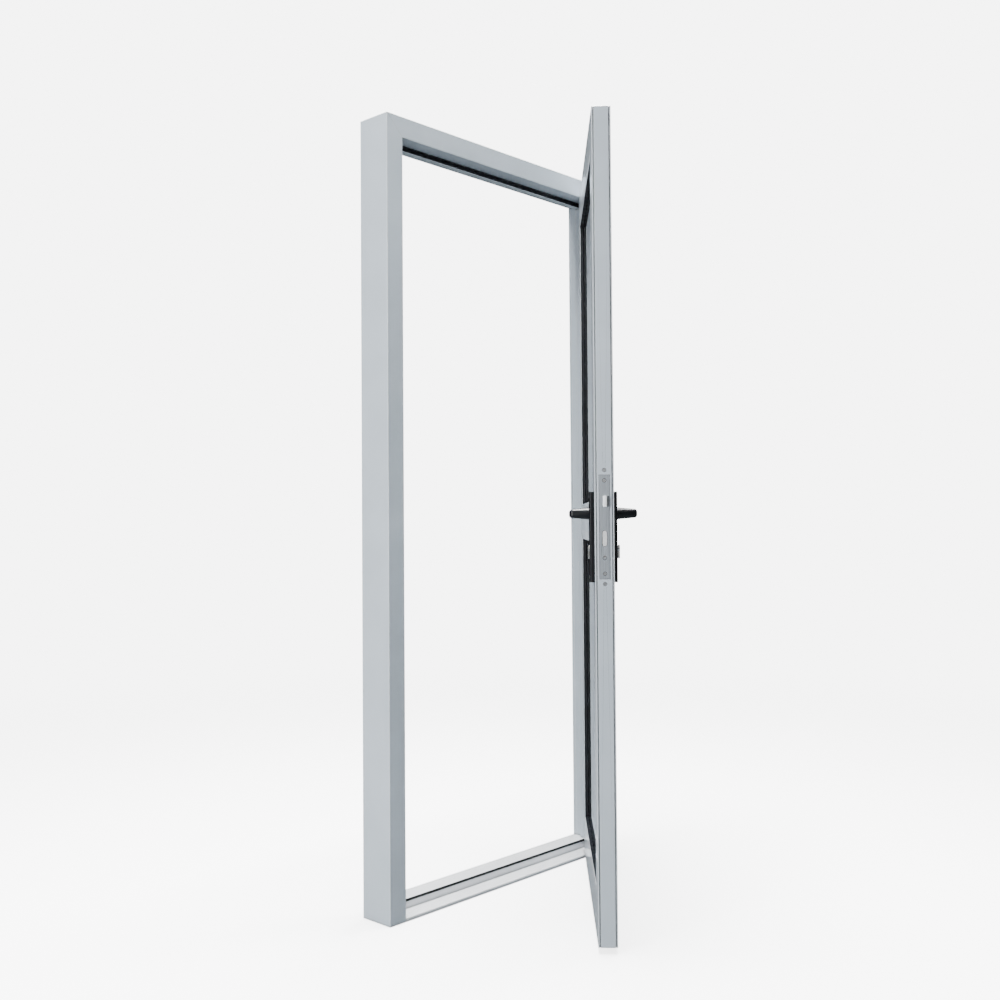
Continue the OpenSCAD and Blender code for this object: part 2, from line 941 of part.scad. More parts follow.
// the frame's half carries the lower knuckle, the leaf's half the upper one
module hinge_half(h, side, k0, k1) {
    difference() {
        union() {
            translate([axis_x, axis_y, k0])
                cylinder(r = barrel_r, h = k1 - k0);
            // neck from the knuckle to its own flap, kept to its own height
            span(side > 0 ? axis_x : axis_x - flap_w, side > 0 ? axis_x + flap_w : axis_x,
                y0 - flap_t, y0, k0, k1);
            span(side > 0 ? axis_x + 11 : axis_x - flap_w, side > 0 ? axis_x + flap_w : axis_x - 11,
                y0 - flap_t, y0, h - flap_h/2, h + flap_h/2);
        }
        // keeps the neck clear of the other side's gap edge
        span(side > 0 ? axis_x - 20 : axis_x - leaf_gap/2 + 0.5,
            side > 0 ? axis_x + leaf_gap/2 - 0.5 : axis_x + 20,
            axis_y + barrel_r, y0 + eps, h - flap_h, h + flap_h);
        translate([axis_x, axis_y, k0 - eps])
            cylinder(r = pin_r + pin_fit, h = k1 - k0 + 2*eps);
        for (dz = flap_screw_dz)
            sink_y(axis_x + side*flap_screw_x, h + dz, y0 - flap_t, flap_t + eps, hinge_screw_r);
    }
}

module hinge_frame_halves() {
    color(silver)
        for (h = hinge_z)
            hinge_half(h, 1, h - flap_h/2, h - washer_t/2 - knuckle_gap);
}

module hinge_leaf_halves() {
    color(silver)
        posed()
            for (h = hinge_z)
                hinge_half(h, -1, h + washer_t/2 + knuckle_gap, h + flap_h/2);
}

module hinge_pins() {
    color(steel)
        for (h = hinge_z)
            translate([axis_x, axis_y, h - flap_h/2 - 2])
                union() {
                    cylinder(r = pin_r, h = flap_h + 4);
                    cylinder(r = barrel_r - 1.5, h = 2);
                }
}

module hinge_washers() {
    color(black)
        for (h = hinge_z)
            translate([axis_x, axis_y, h - washer_t/2 - knuckle_gap])
                difference() {
                    cylinder(r = barrel_r - 0.5, h = washer_t);
                    translate([0, 0, -eps])
                        cylinder(r = pin_r + pin_fit, h = washer_t + 2*eps);
                }
}

module hinge_frame_screws() {
    color(steel)
        for (h = hinge_z)
            for (dz = flap_screw_dz)
                screw_y(axis_x + flap_screw_x, h + dz, y0 - flap_t, hinge_screw_l, hinge_screw_r);
}

module hinge_leaf_screws() {
    color(steel)
        posed()
            for (h = hinge_z)
                for (dz = flap_screw_dz)
                    screw_y(axis_x - flap_screw_x, h + dz, y0 - flap_t, hinge_screw_l, hinge_screw_r);
}

// ---------- lock ----------

// keyhole-shaped cylinder outline with a margin m
module key_outline(m, ya, yb) {
    rod_y(lock_x, key_z, key_r + m, ya, yb);
    span(lock_x - 5 - m, lock_x + 5 + m, ya, yb, key_z - 19.5, key_z);
    rod_y(lock_x, key_z - 19.5, 5 + m, ya, yb);
}

case_x0 = xl + faceplate_t;
case_x1 = case_x0 + case_d;

module lock_case() {
    ya = lock_y - case_t/2;
    yb = lock_y + case_t/2;
    color(steel)
        posed()
            difference() {
                span(case_x0, case_x1, ya, yb, case_z0, case_z1);
                span(case_x0 + case_wall, case_x1 - case_wall, ya + case_wall, yb - case_wall,
                    case_z0 + case_wall, case_z1 - case_wall);
                rod_y(lock_x, lever_z, hub_r - 1, ya - eps, yb + eps);
                key_outline(0.2, ya - eps, yb + eps);
                span(case_x0 - eps, case_x0 + 4, latch_y - latch_w/2 - slide_fit,
                    latch_y + latch_w/2 + slide_fit,
                    latch_z - latch_h/2 - slide_fit, latch_z + latch_h/2 + slide_fit);
                span(case_x0 - eps, case_x0 + 4, lock_y - bolt_w/2 - slide_fit,
                    lock_y + bolt_w/2 + slide_fit,
                    bolt_z - bolt_h/2 - slide_fit, bolt_z + bolt_h/2 + slide_fit);
                for (z = plate_screw_z)
                    rod_y(lock_x, z, screw_r + 0.4, ya - eps, yb + eps);
                rod_x(lock_y, key_z - 19.5, screw_r + 0.4, case_x0 - eps, case_x0 + 4);
            }
}

module lock_faceplate() {
    color(steel)
        posed()
            difference() {
                span(xl, xl + faceplate_t, lock_y - faceplate_w/2, lock_y + faceplate_w/2, face_z0,
                    face_z1);
                // window for the latch, wider than the bolt on its flat side
                span(xl - eps, xl + faceplate_t + eps,
                    latch_y - latch_w/2 - slide_fit - latch_window, latch_y + latch_w/2 + slide_fit,
                    latch_z - latch_h/2 - slide_fit, latch_z + latch_h/2 + slide_fit);
                bolt_shape(slide_fit, xl - eps, xl + faceplate_t + eps);
                for (z = edge_screw_z)
                    sink_x(lock_y, z, xl, faceplate_t + eps, screw_r);
                sink_x(lock_y, key_z - 19.5, xl, faceplate_t + eps, screw_r);
            }
}

module lock_screws() {
    color(steel)
        posed() {
            for (z = edge_screw_z)
                screw_x(lock_y, z, xl, 14, screw_r);
            for (z = stile_screw_z)
                screw_x(lock_y, z, xl, 14, screw_r);
        }
}

// bevelled latch bolt with its tail inside the case
module latch_bolt() {
    nose_y = latch_y + latch_w/2;
    color(steel)
        posed()
            union() {
                translate([0, 0, latch_z - latch_h/2])
                    linear_extrude(latch_h)
                        polygon([
                            [xl - latch_out, latch_y - latch_w/2 + 1], [xl - latch_out,
                                latch_y - latch_w/2 + 3.2],
                            [xl + 0.5, nose_y], [xl + 16, nose_y],
                            [xl + 16, latch_y - latch_w/2], [xl - latch_out + 1, latch_y - latch_w/2]]);
            }
}

// dead bolt outline with rounded ends, margin m
module bolt_shape(m, xa, xb) {
    r = bolt_w/2;
    span(xa, xb, lock_y - r - m, lock_y + r + m, bolt_z - bolt_h/2 + r, bolt_z + bolt_h/2 - r);
    rod_x(lock_y, bolt_z - bolt_h/2 + r, r + m, xa, xb);
    rod_x(lock_y, bolt_z + bolt_h/2 - r, r + m, xa, xb);
}

module dead_bolt() {
    color(steel)
        posed()
            bolt_shape(0, xl + bolt_rest, xl + bolt_rest + 23);
}

module cylinder_body() {
    ya = y0 - key_end_out;
    yb = back_y + key_end_in;
    color(steel)
        posed()
            difference() {
                key_outline(0, ya, yb);
                rod_y(lock_x, key_z, plug_r + pin_fit, ya - eps, yb + eps);
                // slot for the cam
                span(lock_x - 20, lock_x + 20, lock_y - cam_w/2 - 0.3, lock_y + cam_w/2 + 0.3,
                    key_z - 10.5, key_z + 20);
                rod_x(lock_y, key_z - 19.5, screw_r + pin_fit, xl, lock_x + 10);
            }
}

module cylinder_screw() {
    color(steel)
        posed()
            screw_x(lock_y, key_z - 19.5, xl, backset + 4, screw_r);
}

module plug(ya, yb, key_end) {
    difference() {
        rod_y(lock_x, key_z, plug_r, ya, yb);
        span(lock_x - 1.1, lock_x + 1.1, key_end < 0 ? ya - eps : yb - 18, key_end < 0 ? ya + 18 : yb + eps,
            key_z - plug_r - eps, key_z + 2.5);
    }
}

module cylinder_plugs() {
    color(steel)
        posed() {
            plug(y0 - key_end_out, lock_y - cam_w/2, -1);
            plug(lock_y + cam_w/2, back_y + key_end_in, 1);
        }
}

// cam between the plugs: a hub with one finger
module cylinder_cam() {
    color(steel)
        posed()
            union() {
                rod_y(lock_x, key_z, key_r - 0.6, lock_y - cam_w/2, lock_y + cam_w/2);
                span(lock_x + 2, lock_x + cam_r - 4, lock_y - cam_w/2, lock_y + cam_w/2, key_z - 3,
                    key_z + 3);
            }
}

module lock_hub() {
    color(steel)
        posed()
            difference() {
                rod_y(lock_x, lever_z, hub_r - 1.2, lock_y - case_t/2, lock_y + case_t/2);
                span(lock_x - spindle_s/2, lock_x + spindle_s/2, y0, back_y, lever_z - spindle_s/2,
                    lever_z + spindle_s/2);
            }
}

spindle_in = 20;

module spindle() {
    color(steel)
        posed()
            span(lock_x - spindle_s/2, lock_x + spindle_s/2, y0 - plate_out_t - spindle_in,
                back_y + plate_in_t + spindle_in, lever_z - spindle_s/2, lever_z + spindle_s/2);
}

// ---------- handles ----------

collar_r = 11;
collar_fit = 0.3;

// bevelled plate, d is its thickness and away its direction out of the leaf
module handle_plate(ya, away, d) {
    bevel = 3;
    difference() {
        translate([lock_x, ya, plate_z - plate_l/2])
            linear_extrude(plate_l)
                polygon([
                    [-plate_w/2, 0], [-plate_w/2, away*(d - bevel)], [-plate_w/2 + bevel, away*d],
                    [plate_w/2 - bevel, away*d], [plate_w/2, away*(d - bevel)], [plate_w/2, 0]]);
        rod_y(lock_x, lever_z, collar_r + collar_fit, min(ya, ya + away*d) - eps, max(ya,
            ya + away*d) + eps);
        key_outline(0.3, min(ya, ya + away*d) - eps, max(ya, ya + away*d) + eps);
        for (z = plate_screw_z)
            rod_y(lock_x, z, screw_r, min(ya, ya + away*d) - eps, max(ya, ya + away*d) + eps);
        if (away > 0)
            for (z = plate_screw_z)
                rod_y(lock_x, z, 2*screw_r, ya + d - screw_r, ya + d + eps);
        if (away < 0)
            for (z = plate_screw_z)
                rod_y(lock_x, z, 2*screw_r, ya - d - eps, ya - d + screw_r);
    }
}

module plate_outside() {
    color(black)
        posed()
            handle_plate(y0, -1, plate_out_t);
}

module plate_inside() {
    color(black)
        posed()
            handle_plate(back_y, 1, plate_in_t);
}

// through bolts that clamp the plates on both faces
module plate_screws() {
    color(steel)
        posed()
            for (z = plate_screw_z) {
                rod_y(lock_x, z, screw_r, y0 - plate_out_t, back_y + plate_in_t);
                rod_y(lock_x, z, 2*screw_r, y0 - plate_out_t, y0 - plate_out_t + screw_r);
                rod_y(lock_x, z, 2*screw_r, back_y + plate_in_t - screw_r, back_y + plate_in_t);
            }
}

// lever from its collar in the plate to its arm; away is its direction out of the leaf
grub_r = 1.5;
pin_at = 8;
arm_t = 15;
arm_h = 22;
neck_h = 29;

module ball(dx, dy, dz, r) {
    translate([lock_x + dx, dy, lever_z + dz])
        sphere(r = r, $fn = 32);
}

module lever(ya, away, d) {
    tip = ya + away*lever_reach;
    r = arm_t/2;
    difference() {
        union() {
            rod_y(lock_x, lever_z, collar_r, min(ya + away*0.4, ya + away*(d + 2)),
                max(ya + away*0.4, ya + away*(d + 2)));
            // neck, tall at the plate and lower at the arm
            hull() {
                rod_y(lock_x, lever_z, neck_h/2, min(ya + away*(d + 0.5), ya + away*(d + 2)),
                    max(ya + away*(d + 0.5), ya + away*(d + 2)));
                ball(-1, tip - away*r, (arm_h - arm_t)/2, r);
                ball(-1, tip - away*r, -(arm_h - arm_t)/2, r);
            }
            // arm toward the hinge side
            hull() {
                ball(-1, tip - away*r, (arm_h - arm_t)/2, r);
                ball(-1, tip - away*r, -(arm_h - arm_t)/2, r);
                ball(lever_l - 20, tip - away*r, (arm_h - arm_t)/2, r);
                ball(lever_l - 20, tip - away*r, -(arm_h - arm_t)/2, r);
                ball(lever_l - r, tip - away*(r + 2), 0, r - 1);
            }
        }
        span(lock_x - spindle_s/2, lock_x + spindle_s/2,
            min(ya - away, ya + away*(d + spindle_in)), max(ya - away, ya + away*(d + spindle_in)),
            lever_z - spindle_s/2, lever_z + spindle_s/2);
        translate([lock_x, ya + away*(d + pin_at), lever_z - 2*arm_h])
            cylinder(r = grub_r + 0.1, h = 2*arm_h);
    }
}

module lever_outside() {
    color(black)
        posed()
            lever(y0, -1, plate_out_t);
}

module lever_inside() {
    color(black)
        posed()
            lever(back_y, 1, plate_in_t);
}

// grub screws under the necks that lock the levers on the spindle
module lever_pins() {
    color(steel)
        posed()
            for (y = [y0 - plate_out_t - pin_at, back_y + plate_in_t + pin_at])
                translate([lock_x, y, lever_z - spindle_s/2 - 5])
                    cylinder(r = grub_r, h = 5);
}

frame_jamb_lock();
frame_jamb_hinge();
frame_head();
sill();
frame_corner_cleats();
sill_end_blocks();
sill_screws();
seal_jamb_lock();
seal_jamb_hinge();
seal_head();
seal_sill();
strike_plate();
strike_box();
strike_screws();
leaf_stile_lock();
leaf_stile_hinge();
leaf_rail_top();
leaf_rail_mid();
leaf_rail_bottom();
rail_connectors();
stile_end_caps();
upper_pane_outer();
upper_pane_inner();
upper_spacer();
lower_pane_outer();
lower_pane_inner();
lower_spacer();
upper_gasket_outer();
upper_gasket_inner();
lower_gasket_outer();
lower_gasket_inner();
upper_beads();
lower_beads();
setting_blocks();
hinge_frame_halves();
hinge_leaf_halves();
hinge_pins();
hinge_washers();
hinge_frame_screws();
hinge_leaf_screws();
lock_case();
lock_faceplate();
lock_screws();
latch_bolt();
dead_bolt();
cylinder_body();
cylinder_screw();
cylinder_plugs();
cylinder_cam();
lock_hub();
spindle();
plate_outside();
plate_inside();
plate_screws();
lever_outside();
lever_inside();
lever_pins();
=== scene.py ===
# Glazed aluminium door in its frame: looks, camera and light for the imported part.
# Lengths are in metres. The origin is the middle of the sill's underside, +X goes toward the
# hinge jamb, and -Y is outside, where the leaf opens to.
import json
import math

import bmesh
import bpy
from mathutils import Matrix, Vector


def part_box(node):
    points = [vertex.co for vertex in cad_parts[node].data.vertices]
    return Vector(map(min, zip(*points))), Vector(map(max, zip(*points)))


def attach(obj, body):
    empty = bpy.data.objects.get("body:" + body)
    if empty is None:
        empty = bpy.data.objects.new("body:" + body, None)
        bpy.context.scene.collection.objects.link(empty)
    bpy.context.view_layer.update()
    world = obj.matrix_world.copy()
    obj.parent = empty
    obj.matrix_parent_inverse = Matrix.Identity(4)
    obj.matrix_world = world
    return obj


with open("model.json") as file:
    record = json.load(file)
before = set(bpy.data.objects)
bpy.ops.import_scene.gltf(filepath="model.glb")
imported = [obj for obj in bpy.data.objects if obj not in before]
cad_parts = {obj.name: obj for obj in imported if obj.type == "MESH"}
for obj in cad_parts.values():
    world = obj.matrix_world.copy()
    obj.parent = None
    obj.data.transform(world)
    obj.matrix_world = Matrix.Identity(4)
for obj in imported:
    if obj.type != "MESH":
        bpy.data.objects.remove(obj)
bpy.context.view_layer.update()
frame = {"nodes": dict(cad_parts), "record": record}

NODES = frame["nodes"]
SLOT_OF = {row["node"]: row["material_slot"] for row in frame["record"]["subparts"]}


# ---------- camera ----------

CAMERA_AT = (-2.37315, -2.19796, 1.02863)
CAMERA_RIGHT = Vector((0.68371982, -0.72971449, -0.00663036))
CAMERA_UP = Vector((-0.01308925, -0.02134762, 0.99968643))
SENSOR_MM = 36.0
LENS_MM = 40.012
CAMERA_SHIFT = (0.01012, -0.00325)
CLIP_NEAR, CLIP_FAR = 0.05, 60.0


def add_camera():
    data = bpy.data.cameras.new("camera")
    data.sensor_width = SENSOR_MM
    data.lens = LENS_MM
    data.shift_x, data.shift_y = CAMERA_SHIFT
    data.clip_start = CLIP_NEAR
    data.clip_end = CLIP_FAR
    cam = bpy.data.objects.new("camera", data)
    bpy.context.scene.collection.objects.link(cam)
    back = CAMERA_RIGHT.cross(CAMERA_UP)
    turn = Matrix((CAMERA_RIGHT, CAMERA_UP, back)).transposed()
    cam.matrix_world = Matrix.Translation(CAMERA_AT) @ turn.to_4x4()
    bpy.context.scene.camera = cam


# ---------- node helpers ----------

# sockets of a Mix node that mixes colours
MIX_FACTOR, MIX_A, MIX_B, MIX_RESULT = 0, 6, 7, 2

# how bright the painted edge highlight gets, and the cosines between which it fades out
EDGE_MOST = 0.7
EDGE_SHARP, EDGE_FLAT = 0.85, 0.998
# openness at and below which the painted shade in a crevice is at its darkest
CREVICE_CLOSED = 0.15


def add_node(tree, kind, values=None, **settings):
    """A new shader node with its properties set, and its sockets' own values from a dict."""
    node = tree.nodes.new("ShaderNode" + kind)
    for key, value in settings.items():
        setattr(node, key, value)
    for socket, value in (values or {}).items():
        node.inputs[socket].default_value = value
    return node


class Mat:
    """A node material with short calls for what every finish here uses."""

    def __init__(self, name):
        self.mat = bpy.data.materials.new(name)
        self.mat.use_nodes = True
        self.nt = self.mat.node_tree
        self.nt.nodes.clear()
        out = self.add("OutputMaterial")
        self.bsdf = self.add("BsdfPrincipled")
        self.link(self.bsdf.outputs[0], out.inputs[0])
        self.coord = self.add("TexCoord").outputs["Object"]

    def add(self, kind, values=None, **settings):
        return add_node(self.nt, kind, values, **settings)

    def link(self, source, target):
        self.nt.links.new(source, target)

    def set(self, **values):
        """Sets the shader's own sockets; an underscore stands for a space."""
        for key, value in values.items():
            self.bsdf.inputs[key.replace("_", " ")].default_value = value

    def drive(self, socket, source):
        self.link(source, self.bsdf.inputs[socket])

    def scaled(self, scale):
        """The object's own coordinates, multiplied along each axis."""
        n = self.add("Mapping", {"Scale": scale})
        self.link(self.coord, n.inputs["Vector"])
        return n.outputs[0]

    def noise(self, scale, detail=2.0, rough=0.5, vector=None):
        n = self.add("TexNoise", {"Scale": scale, "Detail": detail, "Roughness": rough})
        self.link(vector or self.coord, n.inputs["Vector"])
        return n.outputs["Fac"]

    def remap(self, value, a, b, lo=0.3, hi=0.7):
        """Takes lo..hi to a..b, and stays at a and b outside it."""
        n = self.add("MapRange", {"From Min": lo, "From Max": hi, "To Min": a, "To Max": b})
        self.link(value, n.inputs["Value"])
        return n.outputs[0]

    def mix(self, fac, a, b):
        """a where fac is 0 and b where it is 1. Each is a colour or a socket."""
        n = self.add("Mix", data_type="RGBA")
        self.link(fac, n.inputs[MIX_FACTOR])
        for index, value in ((MIX_A, a), (MIX_B, b)):
            if isinstance(value, tuple):
                n.inputs[index].default_value = (*value, 1.0)
            else:
                self.link(value, n.inputs[index])
        return n.outputs[MIX_RESULT]

    def edges(self, radius):
        """High along edges, 0 on flats: where a rounded normal leaves the surface's own; the mask of
        the painted edge highlight.
        """
        bevel = self.add("Bevel", {"Radius": radius}, samples=4)
        own = self.add("NewGeometry")
        dot = self.add("VectorMath", operation="DOT_PRODUCT")
        self.link(bevel.outputs[0], dot.inputs[0])
        self.link(own.outputs["Normal"], dot.inputs[1])
        return self.remap(dot.outputs["Value"], EDGE_MOST, 0.0, EDGE_SHARP, EDGE_FLAT)

    def crevice_shade(self, distance, open_from=0.75):
        """1 in grooves and along joints, 0 on open surface: the mask of the painted shade there."""
        ao = self.add("AmbientOcclusion", {"Distance": distance}, samples=6)
        return self.remap(ao.outputs["AO"], 1.0, 0.0, CREVICE_CLOSED, open_from)

    def bump(self, *layers):
        """Each layer is (height, strength, distance); later ones lie on earlier ones."""
        last = None
        for height, strength, distance in layers:
            n = self.add("Bump", {"Strength": strength, "Distance": distance})
            self.link(height, n.inputs["Height"])
            if last:
                self.link(last, n.inputs["Normal"])
            last = n.outputs[0]
        self.drive("Normal", last)


def srgb(*rgb):
    """Linear colour from one as it looks on a screen."""
    return tuple(c / 12.92 if c <= 0.04045 else ((c + 0.055) / 1.055) ** 2.4 for c in rgb)


def times(colour, factor, most=1.0):
    return tuple(min(most, c * factor) for c in colour)


# ---------- materials ----------

def powder_coat(name, light, dark, rough=(0.30, 0.40), coat=0.85, coat_rough=0.08,
                edge_highlight=None, specular=0.5):
    """Satin powder coat: soft mottling, fine speckle, orange peel, a painted highlight along the
    edges and painted shade in grooves and joints.
    """
    edge_radius = 0.0026
    shade_reach = 0.009
    m = Mat(name)
    mottle = m.remap(m.noise(7.0, 3.0), 0.0, 1.0)
    speck = m.remap(m.noise(1500.0, 2.0, 0.7), 0.0, 1.0, 0.35, 0.65)
    faint = m.add("Math", {1: 0.30}, operation="MULTIPLY")
    m.link(speck, faint.inputs[0])
    speckled = m.mix(faint.outputs[0], m.mix(mottle, dark, light), times(light, 1.16))
    # painted highlight: edges turn 1.8 times lighter, or take the given edge colour
    with_edge_highlight = m.mix(m.edges(edge_radius), speckled, edge_highlight or times(light, 1.8, 0.97))
    # painted shade: grooves, joints and inside corners darken nearly to black
    m.drive("Base Color", m.mix(m.crevice_shade(shade_reach, 0.92), with_edge_highlight, times(dark, 0.04)))
    m.drive("Roughness", m.remap(m.noise(40.0, 3.0), *rough))
    m.set(Metallic=0.0, Coat_Weight=coat, Coat_Roughness=coat_rough, IOR=1.5,
          Specular_IOR_Level=specular)
    m.bump((m.noise(260.0, 2.0), 0.10, 0.0004), (m.noise(1700.0, 2.0), 0.10, 0.0002))
    return m.mat


def brushed(name, tone, stretch, rough=(0.24, 0.38), scratch=0.12, metallic=1.0):
    """Brushed or drawn metal, with the grain along the axis of smallest stretch, and painted shade in
    its grooves and joints.
    """
    shade_reach = 0.002
    m = Mat(name)
    grain = m.noise(1.0, 4.0, 0.6, m.scaled(stretch))
    metal = m.mix(m.remap(grain, 0.0, 1.0), times(tone, 0.86), times(tone, 1.18))
    # painted shade: grooves and joints darken to a tenth of the tone
    m.drive("Base Color", m.mix(m.crevice_shade(shade_reach), metal, times(tone, 0.10)))
    m.drive("Roughness", m.remap(grain, *rough))
    m.set(Metallic=metallic)
    m.bump((grain, scratch, 0.0003), (m.noise(35.0, 3.0), 0.05, 0.0006))
    return m.mat


def moulded(name, tone, rough=(0.45, 0.62), grain=0.25, scale=900.0):
    """Moulded plastic or rubber with a fine spark-eroded grain and a little dust."""
    m = Mat(name)
    dust = m.remap(m.noise(18.0, 5.0, 0.65), 0.0, 1.0, 0.45, 0.75)
    dusty = tuple(c * 1.6 + 0.001 for c in tone)
    m.drive("Base Color", m.mix(dust, tone, dusty))
    m.drive("Roughness", m.remap(m.noise(60.0, 3.0), *rough))
    m.set(Specular_IOR_Level=0.22)
    m.bump((m.noise(scale, 3.0, 0.6), grain, 0.0003))
    return m.mat


def clear_glass(name):
    """Float glass, very slightly green and wavy, with faint smears."""
    tints = (0.90, 0.96, 0.95), (0.94, 0.985, 0.975)
    m = Mat(name)
    m.drive("Roughness", m.remap(m.noise(9.0, 4.0), 0.0, 0.035, 0.45, 0.75))
    m.drive("Base Color", m.mix(m.remap(m.noise(2.5, 2.0), 0.0, 1.0), *tints))
    m.set(Transmission_Weight=1.0, IOR=1.5)
    m.bump((m.noise(3.0, 1.0), 0.02, 0.002))
    return m.mat


SILVER = srgb(0.75, 0.79, 0.825)
SILVER_DARK = srgb(0.71, 0.75, 0.785)
BEAD_SILVER = srgb(0.77, 0.79, 0.81)
SILL_LIGHT = srgb(0.86, 0.87, 0.88)
SILL_DARK = srgb(0.82, 0.83, 0.845)
BLACK = (0.0018, 0.0026, 0.0042)
BLACK_DARK = (0.0011, 0.0017, 0.0030)
# the handles' black finish; its edge colour is a painted highlight
BLACK_FINISH = {"coat": 0.10, "coat_rough": 0.20, "edge_highlight": (0.016, 0.021, 0.028), "specular": 0.28}

# each slot's finish and what it takes after the slot's name
FINISHES = {
    "frame_profile": (powder_coat, SILVER, SILVER_DARK),
    "leaf_profile": (powder_coat, SILVER, SILVER_DARK),
    "glazing_bead": (powder_coat, BEAD_SILVER, SILVER_DARK),
    "sill_profile": (powder_coat, SILL_LIGHT, SILL_DARK, (0.34, 0.50)),
    "hinge_body": (powder_coat, BEAD_SILVER, SILVER_DARK),
    "cast_connector": (brushed, srgb(0.70, 0.71, 0.72), (60.0, 60.0, 60.0), (0.45, 0.60)),
    "moulded_plastic": (moulded, (0.012, 0.012, 0.013)),
    "door_seal": (moulded, (0.0028, 0.0034, 0.0046), (0.50, 0.68), 0.15, 1500.0),
    "glazing_gasket": (moulded, (0.0030, 0.0042, 0.0064), (0.45, 0.62), 0.15, 1500.0),
    "pane_glass": (clear_glass,),
    "glass_spacer": (moulded, (0.03, 0.032, 0.035), (0.35, 0.5), 0.1),
    "stainless_plate": (brushed, srgb(0.83, 0.86, 0.89), (900.0, 900.0, 9.0), (0.32, 0.44), 0.06),
    "bolt_metal": (brushed, srgb(0.95, 0.96, 0.97), (300.0, 300.0, 20.0), (0.16, 0.26), 0.05, 0.35),
    # the dark zinc steel tone is painted shade: it darkens the lock case seen through the bolt
    # openings
    "zinc_steel": (brushed, srgb(0.30, 0.31, 0.33), (120.0, 120.0, 120.0), (0.35, 0.50)),
    "screw_steel": (brushed, srgb(0.88, 0.89, 0.90), (500.0, 500.0, 500.0), (0.24, 0.36), 0.05),
    "cylinder_metal": (brushed, srgb(0.80, 0.80, 0.79), (400.0, 400.0, 60.0), (0.18, 0.32)),
    "handle_plate": (powder_coat, BLACK, BLACK_DARK, (0.34, 0.46)),
    "handle_lever": (powder_coat, BLACK, BLACK_DARK, (0.32, 0.44)),
}


def material(slot, finish, *values):
    extra = BLACK_FINISH if slot.startswith("handle_") else {}
    return finish(slot, *values, **extra)


MATS = {slot: material(slot, *row) for slot, row in FINISHES.items()}

# slots whose edges are worth a small radius, with its size
EDGE = {
    "frame_profile": 0.0009,
    "leaf_profile": 0.0007,
    "glazing_bead": 0.0004,
    "sill_profile": 0.0004,
    "hinge_body": 0.0004,
    "stainless_plate": 0.0002,
    "bolt_metal": 0.0003,
    "handle_plate": 0.0007,
    "pane_glass": 0.0003,
    "cylinder_metal": 0.0002,
}
WELD_DISTANCE = 0.00001
SHARP_ANGLE = math.radians(35)


def soften(obj, width):
    """Joins the imported corners and rounds the edges, so joints between pieces show as hairlines."""
    weld = obj.modifiers.new("weld", "WELD")
    weld.merge_threshold = WELD_DISTANCE
    bevel = obj.modifiers.new("bevel", "BEVEL")
    bevel.width = width
    bevel.segments = 2
    bevel.limit_method = "ANGLE"
    bevel.angle_limit = SHARP_ANGLE
    bevel.use_clamp_overlap = True
    bevel.harden_normals = True


for name, obj in NODES.items():
    slot = SLOT_OF[name]
    if not obj.material_slots:
        obj.data.materials.append(MATS[slot])
    for s in obj.material_slots:
        s.material = MATS[slot]
    if slot in EDGE:
        soften(obj, EDGE[slot])


# ---------- details ----------

# the details are drawn on the shut leaf and then turned with it to where it stands open
HINGE_AXIS = Vector((0.4085, -0.0616, 0.0))
OPENED = math.radians(40.7)
TO_REST = (Matrix.Translation(HINGE_AXIS) @ Matrix.Rotation(OPENED, 4, "Z")
           @ Matrix.Translation(-HINGE_AXIS))


def mesh_piece(name, bm, body, slot_name):
    """A finished bmesh, drawn in the shut position, as a piece that moves with the leaf."""
    bmesh.ops.recalc_face_normals(bm, faces=bm.faces)
    mesh = bpy.data.meshes.new(name)
    bm.to_mesh(mesh)
    bm.free()
    obj = bpy.data.objects.new(name, mesh)
    bpy.context.scene.collection.objects.link(obj)
    mesh.transform(TO_REST)
    mesh.materials.append(MATS[slot_name])
    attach(obj, body)


def close_loops(bm, loops):
    """Faces from each loop of vertices to the next, and from the last to the first."""
    count = len(loops[0])
    for a, b in zip(loops, loops[1:] + loops[:1]):
        for i in range(count):
            k = (i + 1) % count
            bm.faces.new((a[i], a[k], b[k], b[i]))


def ring_profile(bm, x0, x1, z0, z1, profile):
    """Sweeps (inset, y) points round the rectangle x0..x1, z0..z1, mitred at its corners."""
    loops = []
    for inset, y in profile:
        left, right = x0 + inset, x1 - inset
        low, high = z0 + inset, z1 - inset
        corners = ((left, low), (right, low), (right, high), (left, high))
        loops.append([bm.verts.new((x, y, z)) for x, z in corners])
    close_loops(bm, loops)


# the inside face of the beads, the glass behind them, and half the clear opening's width
BACK_Y = -0.006
GLASS_BACK_Y = BACK_Y - 0.0105
OPEN_X = 0.322
BEAD_HEIGHT = 0.023

# section of the wedge gasket: (distance from the beads, y)
GASKET_SECTION = (
    (0.0001, GLASS_BACK_Y + 0.0001),
    (0.0030, GLASS_BACK_Y + 0.0001),
    (0.0034, GLASS_BACK_Y + 0.0018),
    (0.0019, GLASS_BACK_Y + 0.0048),
    (0.0013, BACK_Y - 0.0014),
    (0.0001, BACK_Y - 0.0010),
)


def gasket_and_bead_shade(name, beads):
    """Black wedge gasket that stands against the beads, round the glass on the inside; drawn tall
    enough to cover the beads' sides, so its black is also painted shade for them.
    """
    low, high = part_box(beads)
    bm = bmesh.new()
    ring_profile(bm, -OPEN_X, OPEN_X, low.z + BEAD_HEIGHT, high.z - BEAD_HEIGHT, GASKET_SECTION)
    mesh_piece(name, bm, "leaf", "glazing_gasket")


# the leaf's lock edge, the middle of the faceplate on it, and how far the painted shadow strip
# reaches out of and into that edge
EDGE_X = -0.407
LOCK_Y = -0.0295
SHADOW_OUT = 0.00012
SHADOW_IN = 0.0004
SHARPEST_MITRE = 0.5


